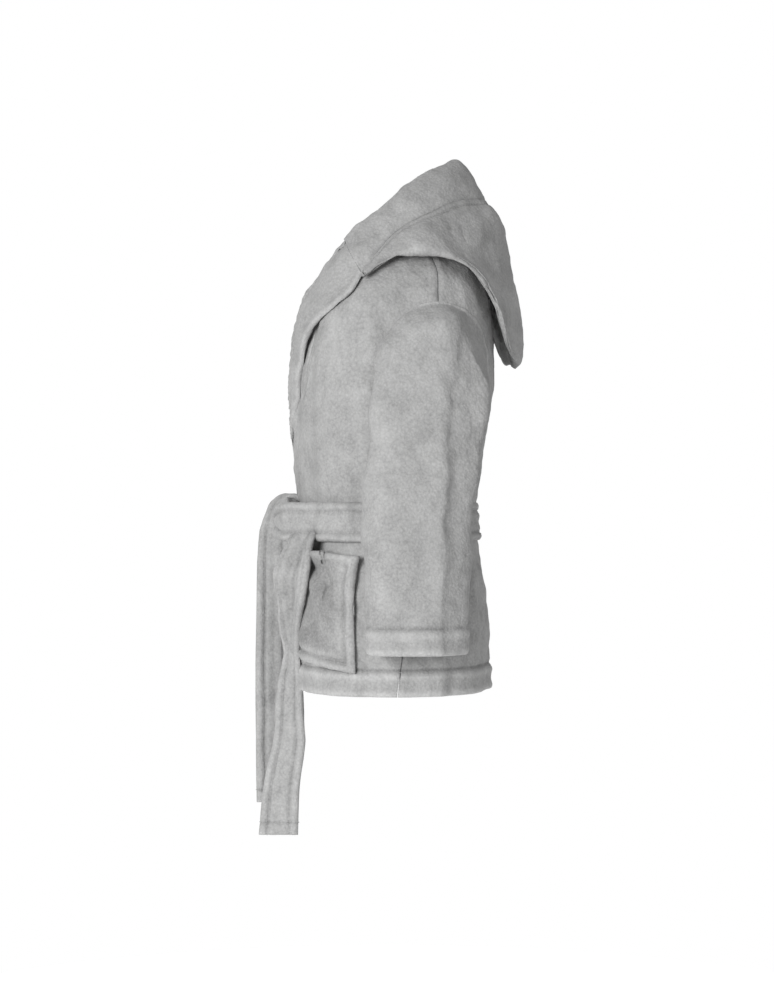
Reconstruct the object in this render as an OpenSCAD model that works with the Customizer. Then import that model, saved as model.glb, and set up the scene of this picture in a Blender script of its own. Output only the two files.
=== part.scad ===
// Short hooded wrap robe in thick plush cloth, tied at the waist, hood worn down.
// Frame: +Z up, the front faces -Y, the wearer's left is +X.
// The origin lies on the shoulder line, over the middle of the neck opening.

/* [Body] */
// Length from the shoulder line down to the hem
body_length = 418; // [320:1:620]
// Width across the chest, under the arms
chest_width = 256; // [200:1:340]
// Width at the waist, under the belt
waist_width = 228; // [180:1:320]
// Width at the hem
hem_width = 264; // [200:1:360]
// Depth of the back half at the chest
back_depth = 96; // [75:1:125]
// Depth of the front half at the chest
front_depth = 84; // [68:1:110]
// Height of the belt's middle below the shoulder line
waist_drop = 262; // [215:1:320]
// Thickness of one layer of plush cloth
cloth = 4; // [2.5:0.5:5]

/* [Sleeves] */
// Height of the armhole's middle below the shoulder line
armhole_drop = 118; // [105:1:135]
// Radius of the armhole
armhole_radius = 50; // [40:1:60]
// Height of the cuff's edge below the shoulder line
cuff_drop = 378; // [310:1:460]
// Front to back width of the sleeve at the cuff
cuff_width = 95; // [75:1:115]
// Side to side thickness of the sleeve at the cuff
cuff_depth = 48; // [38:1:60]

/* [Front bands and hood] */
// Width of the band along the fronts
band_width = 38; // [30:1:46]
// Thickness of the doubled band
band_thick = 6; // [4:0.5:7]
// Height of the hood's peak above the shoulder line
hood_peak = 78; // [60:1:95]
// Depth of the hood's tip below the shoulder line
hood_drop = 113; // [90:1:135]

/* [Belt] */
// Width of the belt
belt_width = 36; // [28:1:44]
// Thickness of the belt
belt_thick = 6; // [4:0.5:8]
// Length of the left tail, below the knot
left_tail = 268; // [220:1:330]
// Length of the right tail, below the knot
right_tail = 243; // [200:1:300]

/* [Pockets] */
// Width of a pocket, round the body
pocket_width = 100; // [80:1:120]
// Height of a pocket
pocket_height = 106; // [85:1:128]
// Height of the pocket's bottom seam above the hem
pocket_rise = 24; // [18:1:32]

/* [Small parts] */
// Width of the hanger loop's strip
loop_width = 8; // [6:1:10]
// Height of the hanger loop
loop_height = 30; // [24:1:38]
// Width of a belt loop's strip
belt_loop_width = 10; // [7:1:14]
// Width of the blank size label
label_width = 34; // [26:1:42]
// Height of the blank size label
label_height = 20; // [16:1:26]

/* [Hidden] */

plush = [0.70, 0.70, 0.70];
plush_shade = [0.60, 0.60, 0.60];
trim_white = [0.93, 0.93, 0.92];

gap = 0.5;                 // air between two layers that lie on each other
tuck = 17;                 // how far the right front lies behind the left one
armhole_y = 38;            // the armhole's middle, behind the neck's middle
sleeve_fit = 2.6;          // air between the sleeve's end and the armhole
knot_reach = 34;           // half width of the knot, across the front
knot_rise = 20;            // how far the belt stands off the body at the knot
seam_gap = 0.7;            // air along a seam between two neighbouring panels

// ---- curves ----

function mix(a, b, t) = a + (b - a) * t;
function soft(t) = let (u = min(max(t, 0), 1)) u * u * (3 - 2 * u);
function steps(a, b, n) = [for (i = [0:n]) mix(a, b, i / n)];

// Which stretch of a table holds x; column 0 of the table rises.
function stretch(rows, x, i = 0) =
    i >= len(rows) - 2 || x < rows[i + 1][0] ? i : stretch(rows, x, i + 1);
function slope(rows, i) =
    let (a = max(i - 1, 0), b = min(i + 1, len(rows) - 1))
    (rows[b] - rows[a]) / (rows[b][0] - rows[a][0]);

// A smooth curve through a table's rows, at x: the whole row at once.
function curve(rows, x) =
    let (i = stretch(rows, x), p = rows[i], q = rows[i + 1], h = q[0] - p[0],
        t = min(max((x - p[0]) / h, 0), 1))
    p * (1 + 2 * t) * (1 - t) * (1 - t) + slope(rows, i) * h * t * (1 - t) * (1 - t)
    + q * t * t * (3 - 2 * t) + slope(rows, i + 1) * h * t * t * (t - 1);

// A smooth curve through points, t counted in points.
function thread(points, t) = curve([for (i = [0:len(points) - 1]) [i, each points[i]]], t);
function place(row) = [row[1], row[2], row[3]];

function bezier(p, t) =
    p[0] * pow(1 - t, 3) + p[1] * 3 * t * pow(1 - t, 2)
    + p[2] * 3 * t * t * (1 - t) + p[3] * pow(t, 3);

// ---- the body's own surface ----

// Height, half width, front depth, back depth and squareness of each level.
profile = [
    [-body_length, hem_width / 2, front_depth + 4, back_depth - 3, 2.4],
    [-mix(waist_drop, body_length, 0.5), mix(waist_width, hem_width, 0.6) / 2, front_depth + 2, back_depth - 6, 2.4],
    [-waist_drop, waist_width / 2, front_depth - 2, back_depth - 20, 2.3],
    [-mix(armhole_drop, waist_drop, 0.62), mix(waist_width, chest_width, 0.4) / 2, front_depth + 3, back_depth - 12, 2.5],
    [-mix(armhole_drop, waist_drop, 0.25), chest_width / 2 - 1, front_depth + 2, back_depth - 3, 2.8],
    [-armhole_drop, chest_width / 2, front_depth - 1, back_depth, 3],
    [-armhole_drop * 0.58, chest_width / 2 - 1, front_depth - 10, back_depth - 2, 3],
    [-35, chest_width / 2 - 15, front_depth - 24, back_depth - 8, 2.8],
    [-12, chest_width / 2 - 42, front_depth - 44, back_depth - 18, 2.5],
    [0, chest_width / 2 - 68, front_depth - 64, back_depth - 32, 2.2]];

function power(x, e) = sign(x) * pow(abs(x), e);

// Point on the body at an angle (0 = wearer's left, 90 = back, -90 = front).
function skin(angle, z, off = 0) =
    let (r = curve(profile, z), e = 2 / r[4], deep = sin(angle) < 0 ? r[2] : r[3])
    [(r[1] + off) * power(cos(angle), e), (deep + off) * power(sin(angle), e), z];

// Angle on the left side at which the body's surface has a given y, or x in front.
function angle_at_y(y, z) =
    let (r = curve(profile, z), k = min(abs(y) / (y < 0 ? r[2] : r[3]), 1))
    sign(y) * asin(pow(k, r[4] / 2));
function angle_at_x(x, z) =
    let (r = curve(profile, z), a = acos(pow(min(abs(x) / r[1], 1), r[4] / 2)))
    x < 0 ? a - 180 : -a;

// Side seam, armhole edge or shoulder seam: where front meets back, as y at a level.
side_seam = [[-body_length, 6], [-waist_drop, 26], [-armhole_drop - armhole_radius, armhole_y]];
shoulder_seam = [[-armhole_drop + armhole_radius, armhole_y], [-35, 40], [0, 30]];

// The levels of a panel, bottom to top, with how far each edge is cut for the armhole.
low = steps(-body_length, -armhole_drop - armhole_radius, 9);
arch = [for (a = [15:15:165]) [-armhole_drop - armhole_radius * cos(a), armhole_radius * sin(a)]];
high = [for (t = [0:0.2:1]) mix(-armhole_drop + armhole_radius, 0, t)];
levels = concat(
    [for (z = low) [z, curve(side_seam, z)[1], 0]],
    [for (a = arch) [a[0], armhole_y, a[1]]],
    [for (z = high) [z, curve(shoulder_seam, z)[1], 0]]);

// Angle of the seam between the left front and its band.
front_edge = [[-body_length, -89], [-waist_drop, -85], [-mix(armhole_drop, waist_drop, 0.53), -74],
    [-mix(armhole_drop, waist_drop, 0.2), -66], [-armhole_drop * 0.93, -60], [-68, -53],
    [-35, -44], [-12, -24], [0, 4]];
function edge_angle(z) = curve(front_edge, z)[1];

// How far the right front is tucked behind the left one at a place across the front.
function tucked(p) = [p[0], p[1] + (p[1] < 0 ? tuck * soft((75 + p[0]) / 50) : 0), p[2]];
function swap_side(p) = [-p[0], p[1], p[2]];

// ---- sheets ----

function unit(v) = v / max(norm(v), 1e-9);
function grid_normal(g, i, j, ring) =
    let (m = len(g[0]),
        du = ring ? g[i][(j + 1) % m] - g[i][(j + m - 1) % m] : g[i][min(j + 1, m - 1)] - g[i][max(j - 1, 0)],
        dv = g[min(i + 1, len(g) - 1)][j] - g[max(i - 1, 0)][j])
    unit(cross(du, dv));
function shifted(g, d, ring = false) =
    [for (i = [0:len(g) - 1]) [for (j = [0:len(g[0]) - 1]) g[i][j] + d * grid_normal(g, i, j, ring)]];

function quad(a, b, c, d) = [[a, b, c], [a, c, d]];

// A closed solid between two grids of the same size; top faces outwards.
module between(top, under, ring = false) {
    rows = len(top);
    cols = len(top[0]);
    half = rows * cols;
    wide = ring ? cols - 1 : cols - 2;
    function at(i, j) = i * cols + j % cols;
    polyhedron([for (r = top) each r, for (r = under) each r], [
        for (i = [0:rows - 2], j = [0:wide])
            each quad(at(i, j), at(i + 1, j), at(i + 1, j + 1), at(i, j + 1)),
        for (i = [0:rows - 2], j = [0:wide])
            each quad(half + at(i, j), half + at(i, j + 1), half + at(i + 1, j + 1), half + at(i + 1, j)),
        for (j = [0:wide])
            each quad(at(0, j), at(0, j + 1), half + at(0, j + 1), half + at(0, j)),
        for (j = [0:wide])
            each quad(at(rows - 1, j + 1), at(rows - 1, j), half + at(rows - 1, j), half + at(rows - 1, j + 1)),
        if (!ring) for (i = [0:rows - 2])
            each quad(at(i + 1, 0), at(i, 0), half + at(i, 0), half + at(i + 1, 0)),
        if (!ring) for (i = [0:rows - 2])
            each quad(at(i, cols - 1), at(i + 1, cols - 1), half + at(i + 1, cols - 1), half + at(i, cols - 1))
    ], convexity = 8);
}

// One layer of a given thickness under a grid.
module layer(g, thick = cloth, ring = false) {
    between(g, shifted(g, -thick, ring), ring);
}

// ---- body panels ----

function front_grid(cols = 10) =
    [for (l = levels)
        let (a = edge_angle(l[0]), b = angle_at_y(l[1] - l[2] - seam_gap, l[0]))
        [for (t = steps(0, 1, cols)) skin(mix(a, b, t), l[0])]];

function back_grid(cols = 16) =
    [for (l = levels)
        let (a = angle_at_y(l[1] + l[2] + seam_gap, l[0]))
        [for (t = steps(0, 1, cols)) skin(mix(a, 180 - a, t), l[0])]];

module back_panel() {
    color(plush) layer(back_grid());
}

module front_left() {
    color(plush) layer(front_grid());
}

module front_right() {
    color(plush) mirror([1, 0, 0])
        layer([for (r = front_grid()) [for (p = r) swap_side(tucked(swap_side(p)))]]);
}

// ---- sleeves ----

arm_side = max(chest_width, hem_width) / 2 + 6;   // the sleeve's inner side hangs here
outer_path = [[chest_width / 2 + 1, armhole_y, -armhole_drop + armhole_radius],
    [chest_width / 2 + 26, armhole_y + 2, -armhole_drop + armhole_radius - 4],
    [chest_width / 2 + cuff_depth + 2, armhole_y - 4, -armhole_drop - 70],
    [arm_side + cuff_depth, armhole_y - 14, -cuff_drop]];
inner_path = [[chest_width / 2 - 1, armhole_y, -armhole_drop - armhole_radius],
    [arm_side, armhole_y, -armhole_drop - armhole_radius - 8],
    [arm_side, armhole_y - 7, -mix(armhole_drop, cuff_drop, 0.55)],
    [arm_side, armhole_y - 14, -cuff_drop]];

// The sleeve's end inside the armhole: a circle seen from the side, lying on the body.
function armhole_point(a) =
    let (r = armhole_radius - sleeve_fit, y = armhole_y + r * cos(a), z = -armhole_drop + r * sin(a))
    [skin(angle_at_y(y, z), z)[0] + 4, y, z];

function sleeve_point(t, a) =
    let (o = bezier(outer_path, t), i = bezier(inner_path, t),
        w = mix(armhole_radius - sleeve_fit, cuff_width / 2, t), e = mix(1, 0.85, soft(t * 3)),
        p = mix(i, o, (power(sin(a), e) + 1) / 2) + [0, w * power(cos(a), e), 0])
    mix(armhole_point(a), p, soft(t / 0.22));

function sleeve_grid(rings = 14, sides = 24) =
    [for (k = [0:rings]) let (t = pow(k / rings, 1.3))
        [for (j = [0:sides - 1]) sleeve_point(t, -j * 360 / sides)]];

module sleeve() {
    layer(sleeve_grid(), cloth, true);
}

module sleeve_left() {
    color(plush) sleeve();
}

module sleeve_right() {
    color(plush) mirror([1, 0, 0]) sleeve();
}

// ---- hood, worn down ----

// Left half of the hood from the middle of the back to the front of the neck:
// its open edge, the seam of its band, its lowest fold and the neck seam.
neck_x = chest_width / 2 - 67;
shoulder_x = chest_width / 2 - 25;
hood_edge = [[0.7, 59, hood_peak], [neck_x * 0.4, 57, hood_peak - 2], [neck_x * 0.74, 40, hood_peak - 12],
    [neck_x - 1, 20, hood_peak - 26], [neck_x + 9, 0, hood_peak - 42], [neck_x + 14, -20, hood_peak - 60],
    [neck_x + 16, -33, 9], [neck_x + 17, -43, 1]];
hood_seam = [[0.7, 88, hood_peak - 34], [neck_x * 0.46, 83, hood_peak - 38], [neck_x * 0.9, 63, hood_peak - 43],
    [neck_x + 13, 44, hood_peak - 52], [neck_x + 26, 25, 16], [neck_x + 33, 6, 7], [neck_x + 39, -8, -1],
    [shoulder_x, -21, -8]];
hood_fold = [[0.7, 118, -hood_drop], [neck_x * 0.57, 115, -hood_drop], [neck_x + 5, 107, -hood_drop + 9],
    [neck_x + 27, 97, -mix(35, hood_drop, 0.45)], [shoulder_x - 1, 75, -34], [shoulder_x + 4, 42, -18],
    [shoulder_x + 3, 8, -15], [shoulder_x, -21, -17]];
neck_seam = [[0.7, back_depth - 30, 6], [neck_x * 0.4, back_depth - 33, 6], [neck_x * 0.7, 52, 6], [neck_x - 6, 38, 6],
    [neck_x, 25, 4], [neck_x + 4, 9, 2], [neck_x + 10, -7, 0], [neck_x + 17, -20, -7]];

// Across the hood at one station: from the neck over the body to the fold, then up.
function hood_across(s) =
    let (n = place(thread(neck_seam, s)), f = place(thread(hood_fold, s)),
        b = place(thread(hood_seam, s)), back = soft(1 - s / 5),
        over = mix(n, f, 0.5) + mix([0, 0, -3], [0, 12, 22], back),
        out = mix(f, b, 0.45) + mix([9, 3, 2], [2, 11, 6], back),
        low = f + [0, 4 * back, -1])
    [n + [0, 0, cloth], mix(n, over, 0.5) + [0, 1, cloth + 3 * back], over + [0, 1, cloth], mix(over, f, 0.65) + [0, 2, 3],
        low, mix(low, out, 0.5) + mix([5, 1, 0], [1, 6, 0], back), out, mix(out, b, 0.6) + mix([2, 1, 2], [1, 2, 2], back), b];

module hood_half() {
    rows = [for (s = [0:0.5:7]) hood_across(s)];
    layer([for (j = [len(rows[0]) - 1:-1:0]) [for (r = rows) r[j]]], cloth);
}

module hood_left() {
    color(plush_shade) hood_half();
}

module hood_right() {
    color(plush_shade) mirror([1, 0, 0]) hood_half();
}

// The doubled band along the hood's open edge, from its seam up to the edge.
function band_across(s) =
    let (b = place(thread(hood_seam, s)), e = place(thread(hood_edge, s)), lift = unit(e - b))
    [b + lift * 3.5, mix(b, e, 0.55) + unit([b[0], b[1] - 20, 30]) * 3, e];

module hood_band() {
    half = [for (s = [0:0.5:6.9]) band_across(s)];
    n = len(half);
    all = concat([for (k = [n - 1:-1:1]) [for (p = half[k]) swap_side(p)]], half);
    color(plush) layer([for (j = [0:2]) [for (k = [len(all) - 1:-1:0]) all[k][j]]], band_thick);
}

// ---- front bands and lapels ----

// Roll of the left lapel and its free edge, from the waist up to the neck.
roll_line = [[-10, -98, -mix(armhole_drop, waist_drop, 0.53)], [8, -99, -152], [22, -98, -128], [38, -95, -92],
    [neck_x - 6, -85, -58], [neck_x + 7, -66, -29], [neck_x + 14, -44.5, -5]];
free_line = [for (p = [[16, 11, -mix(armhole_drop, waist_drop, 0.53)], [38, 12, -150], [50, 12, -124],
    [70, 13, -92], [84, 13, -72], [93, 13, -52], [95, 14, -27]]) skin(angle_at_x(p[0], p[2]), p[2], p[1])];

// Across the band where it lies flat, and across the lapel where it is rolled out.
function flat_across(z) =
    let (x = skin(edge_angle(z), z)[0] - seam_gap)
    [for (k = [0:4]) skin(angle_at_x(x - k * band_width / 4, z), z, band_thick + gap)];
function rolled_across(s) =
    let (e = place(thread(roll_line, s)), l = place(thread(free_line, s)), z = l[2],
        low = skin(edge_angle(z) - 1, z, band_thick + gap), under = mix(low, e, 0.55))
    [low, under, e, mix(e, l, 0.5) + unit([e[0] + l[0], e[1] + l[1], 60]) * 3, l];

// The right front lies behind the left one, so its band is tucked in as its panel is.
function behind(g) = [for (r = g) [for (p = r) swap_side(tucked(swap_side(p)))]];
function as_is(g) = g;

// The lapel's root: from the seam along the neck edge up to just under the roll.
function root_across(r) =
    let (up = unit([r[2][0] + r[4][0], r[2][1] + r[4][1], 60]), end = r[2] - up * (band_thick + 1.5),
        start = skin(edge_angle(r[0][2]) - 1, r[0][2]))
    [start, mix(start, end, 0.5) + [0, -2, 0], end];

// Flat below, rolled out into the lapel above.
module front_band(tuck_in) {
    flat = [for (z = steps(-body_length, -mix(armhole_drop, waist_drop, 0.545), 8)) flat_across(z)];
    rolled = [for (s = [0:0.5:6]) rolled_across(s)];
    flap = [for (r = rolled) [for (k = [2:4]) r[k]]];
    root = [for (r = rolled) let (p = root_across(r)) [for (k = [2:-1:0]) p[k]]];
    for (g = [[for (r = flat) [for (k = [4:-1:0]) r[k]]], flap])
        layer(tuck_in ? behind(g) : g, band_thick);
    layer(tuck_in ? behind(root) : root, cloth - 1);
}

module front_band_left() {
    color(plush) front_band(false);
}

module front_band_right() {
    color(plush) mirror([1, 0, 0]) front_band(true);
}

// ---- pockets ----

pocket_base = -body_length + pocket_rise;
pocket_front = angle_at_x(42, pocket_base + pocket_height / 2);

// A patch with a bulge that opens towards its mouth at the top.
function pocket_grid(cols = 8, rows = 6) =
    [for (v = steps(0, 1, rows)) let (z = pocket_base + pocket_height * v)
        [for (u = steps(0, 1, cols))
            skin(pocket_front + u * pocket_width / (chest_width / 2 * 0.0146), z,
                cloth + gap + 6 * pow(sin(180 * u), 0.7) * (0.25 + 0.75 * v))]];

module pocket_left() {
    color(plush) layer(pocket_grid());
}

module pocket_right() {
    color(plush) mirror([1, 0, 0]) layer(pocket_grid());
}

// ---- belt, half knot and tails ----

belt_off = 2.5;            // the belt's inner face, off the body at the waist
knot_middle = [0, -front_depth - 22, -waist_drop];
knot_half = [knot_reach - 1, 16, 24];

function belt_point(a, h, off) =
    skin(a, h - waist_drop, off + knot_rise * soft((-a - 42) / 34));
function belt_grid(off, cols = 44) =
    let (a = angle_at_x(knot_reach + 1, -waist_drop))
    [for (h = steps(-belt_width / 2, belt_width / 2, 2))
        [for (t = steps(-1, 1, cols))
            let (turn = mix(a, 90, 1 - abs(t)), p = belt_point(turn, h, off))
            t < 0 ? p : swap_side(p)]];

module belt_band() {
    color(plush) between(belt_grid(belt_off + belt_thick), belt_grid(belt_off));
}

// The two ends crossed once over each other, pulled snug: a pillow with a full middle.
function knot_face(side, n = 8) =
    [for (v = steps(-1, 1, n)) [for (u = steps(-1, 1, n))
        knot_middle + [u * knot_half[0] * (1 - 0.1 * v * v),
            side * knot_half[1] * (0.25 + 0.75 * (1 - pow(u, 4)) * (1 - pow(v, 4))),
            v * knot_half[2] * (1 - 0.15 * u * u)]]];
module belt_knot() {
    color(plush) between(knot_face(-1), knot_face(1));
}

tail_top = -waist_drop - knot_half[2] - 1.5;

// Stations of a tail: share of its length, middle x and y, turn of its width from x.
left_hang = [[0, 47, -105, 48], [0.18, 45, -106, 44], [0.32, 42, -106, 34], [0.5, 39, -107, 55],
    [0.68, 35, -107, 78], [0.86, 33, -108, 84], [1, 32, -109, 86]];
right_hang = [[0, -17, -113, 50], [0.3, -18, -116, 56], [0.65, -18, -117, 60], [1, -17, -116, 62]];

module tail(hang, long) {
    rows = [for (t = steps(0, 1, 14)) let (h = curve(hang, t), w = belt_width / 2)
        [for (k = [1, 0, -1]) [h[1] + k * w * cos(h[3]), h[2] + k * w * sin(h[3]), tail_top - long * t]]];
    layer(rows, belt_thick);
}

module belt_tail_left() {
    color(plush) tail(left_hang, left_tail);
}

module belt_tail_right() {
    color(plush) tail(right_hang, right_tail);
}

// A strip over the belt at the side seam, its ends sewn to the body.
module belt_loop() {
    a = angle_at_y(curve(side_seam, -waist_drop)[1], -waist_drop);
    turn = belt_loop_width / (waist_width * 0.0175);
    off = belt_off + belt_thick + gap;
    rows = [[-1.75, 1], [-1.3, 0.45], [-1.12, 0], [1.12, 0], [1.3, 0.45], [1.75, 1]];
    grid = [for (r = rows) [for (k = [-1:1])
        skin(a + k * turn, -waist_drop + r[0] * belt_width / 2, 0)
        + [mix(off + 1.6, gap + 1.6, r[1]), 0, 0]]];
    under = [for (r = grid) [for (p = r) p - [1.6, 0, 0]]];
    between(grid, under);
}

module belt_loop_left() {
    color(plush) belt_loop();
}

module belt_loop_right() {
    color(plush) mirror([1, 0, 0]) belt_loop();
}

// ---- back neck ----

neck_back = curve(profile, 0)[3];
loop_half = 22;            // half the distance between the hanger loop's ends
loop_y = neck_back - 11;   // the loop hangs straight down inside the neck
loop_top = -5;

// Outline of the hanging loop, straight above and round below.
module loop_outline(r) {
    translate([0, loop_half - loop_height]) {
        circle(r, $fn = 48);
        translate([-r, 0]) square([2 * r, loop_height]);
    }
}

module hanger_loop() {
    color(plush_shade) translate([0, loop_y, loop_top]) rotate([90, 0, 0])
        linear_extrude(1.8, center = true) intersection() {
            translate([-loop_half, -loop_height]) square([2 * loop_half, loop_height]);
            difference() {
                loop_outline(loop_half);
                loop_outline(loop_half - loop_width);
            }
        }
}

// A narrow tape over the neck seam, inside the back.
module neck_tape() {
    rows = [for (z = [-16, -11, -6]) [for (a = steps(48, 132, 12)) skin(a, z, -12)]];
    color(plush_shade) layer(rows, 1.2);
}

// A plain label with no text, sewn down on all four sides.
module size_label() {
    top = -32;
    rows = [for (z = steps(top - label_height, top, 3))
        [for (x = steps(1, -1, 4)) skin(-angle_at_x(x * label_width / 2, z), z, -cloth - 2)]];
    color(trim_white) layer(rows, 0.8);
}

back_panel();
front_left();
front_right();
sleeve_left();
sleeve_right();
hood_left();
hood_right();
hood_band();
front_band_left();
front_band_right();
pocket_left();
pocket_right();
belt_band();
belt_knot();
belt_tail_left();
belt_tail_right();
belt_loop_left();
belt_loop_right();
hanger_loop();
neck_tape();
size_label();
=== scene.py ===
"""A small child's hooded wrap robe in grey plush, shaped as worn, hood down, belt half knotted."""
import math

import bpy
import numpy as np
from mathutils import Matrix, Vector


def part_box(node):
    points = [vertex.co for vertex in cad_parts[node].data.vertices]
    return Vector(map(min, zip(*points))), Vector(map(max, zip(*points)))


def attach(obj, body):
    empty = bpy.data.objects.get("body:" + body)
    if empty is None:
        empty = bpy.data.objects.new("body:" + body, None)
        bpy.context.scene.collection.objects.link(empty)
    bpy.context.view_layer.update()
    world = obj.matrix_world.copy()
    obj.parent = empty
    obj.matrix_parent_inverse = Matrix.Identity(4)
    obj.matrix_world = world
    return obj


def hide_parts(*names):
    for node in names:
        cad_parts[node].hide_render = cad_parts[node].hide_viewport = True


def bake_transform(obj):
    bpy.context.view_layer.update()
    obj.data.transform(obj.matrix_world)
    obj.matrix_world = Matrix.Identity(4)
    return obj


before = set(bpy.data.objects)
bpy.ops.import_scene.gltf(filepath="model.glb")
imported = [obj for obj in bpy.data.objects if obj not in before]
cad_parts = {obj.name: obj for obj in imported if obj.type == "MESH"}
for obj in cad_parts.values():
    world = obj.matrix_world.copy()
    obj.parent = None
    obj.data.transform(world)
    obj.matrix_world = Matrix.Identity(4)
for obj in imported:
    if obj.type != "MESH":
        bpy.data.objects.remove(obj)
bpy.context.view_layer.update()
LEFT, RIGHT = 1, -1


# ---------------------------------------------------------------- camera and light

def look_from_the_wearers_left():
    lens = bpy.data.cameras.new("camera")
    camera = bpy.data.objects.new("camera", lens)
    bpy.context.scene.collection.objects.link(camera)
    camera.location = (2.2, -0.004, -0.242)
    camera.rotation_euler = (math.radians(90), 0, math.radians(90))
    lens.sensor_width = 36
    lens.lens = 83.4
    bpy.context.scene.camera = camera


def soft_lamp(name, place, aim, size, watts):
    data = bpy.data.lights.new(name, "AREA")
    data.shape = "DISK"
    data.size = size
    data.energy = watts
    lamp = bpy.data.objects.new(name, data)
    bpy.context.scene.collection.objects.link(lamp)
    lamp.location = place
    aim_at = Vector(aim) - Vector(place)
    lamp.rotation_euler = aim_at.to_track_quat("-Z", "Y").to_euler()


def pale_studio():
    world = bpy.data.worlds.new("studio")
    bpy.context.scene.world = world
    world.use_nodes = True
    nodes, links = world.node_tree.nodes, world.node_tree.links
    nodes.clear()
    seen = nodes.new("ShaderNodeBackground")
    seen.inputs["Color"].default_value = (1, 1, 1, 1)
    fill = nodes.new("ShaderNodeBackground")
    fill.inputs["Color"].default_value = (1.0, 1.0, 1.0, 1)
    fill.inputs["Strength"].default_value = 0.42
    path = nodes.new("ShaderNodeLightPath")
    mix = nodes.new("ShaderNodeMixShader")
    out = nodes.new("ShaderNodeOutputWorld")
    links.new(path.outputs["Is Camera Ray"], mix.inputs["Fac"])
    links.new(fill.outputs[0], mix.inputs[1])
    links.new(seen.outputs[0], mix.inputs[2])
    links.new(mix.outputs[0], out.inputs["Surface"])
    bpy.context.scene.view_settings.view_transform = "Standard"
    soft_lamp("key", (2.05, -1.05, 0.0), (0, 0, -0.22), 1.0, 53)
    soft_lamp("rear_fill", (0.3, 2.2, 0.1), (0, 0.05, -0.22), 1.3, 6.5)
    soft_lamp("right_fill", (-2.0, -0.9, 0.3), (-0.1, 0, -0.22), 1.3, 18)


def pale_floor():
    mesh = bpy.data.meshes.new("floor")
    spots = [(0, 0, -0.8)]
    for radius in (0.35, 0.7):
        spots += [(radius * math.cos(a), radius * math.sin(a), -0.8)
                  for a in np.linspace(0, 2 * math.pi, 64, endpoint=False)]
    faces = [(0, 1 + i, 1 + (i + 1) % 64) for i in range(64)]
    faces += [(1 + i, 65 + i, 65 + (i + 1) % 64, 1 + (i + 1) % 64) for i in range(64)]
    mesh.from_pydata(spots, [], faces)
    floor = bpy.data.objects.new("floor", mesh)
    bpy.context.scene.collection.objects.link(floor)
    paint = bpy.data.materials.new("pale_floor")
    paint.use_nodes = True
    shader = paint.node_tree.nodes["Principled BSDF"]
    shader.inputs["Base Color"].default_value = (0.93, 0.93, 0.93, 1)
    shader.inputs["Roughness"].default_value = 0.9
    shader.inputs["Emission Color"].default_value = (1, 1, 1, 1)
    shader.inputs["Emission Strength"].default_value = 0.5
    mesh.materials.append(paint)


# ---------------------------------------------------------------- finishes

def group_input(tree, name, kind, value):
    socket = tree.interface.new_socket(name=name, in_out="INPUT", socket_type=kind)
    socket.default_value = value


def group_output(tree, name, kind):
    tree.interface.new_socket(name=name, in_out="OUTPUT", socket_type=kind)


def node(tree, kind, **inputs):
    made = tree.nodes.new(kind)
    for name, value in inputs.items():
        made.inputs[name.replace("_", " ")].default_value = value
    return made


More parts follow.
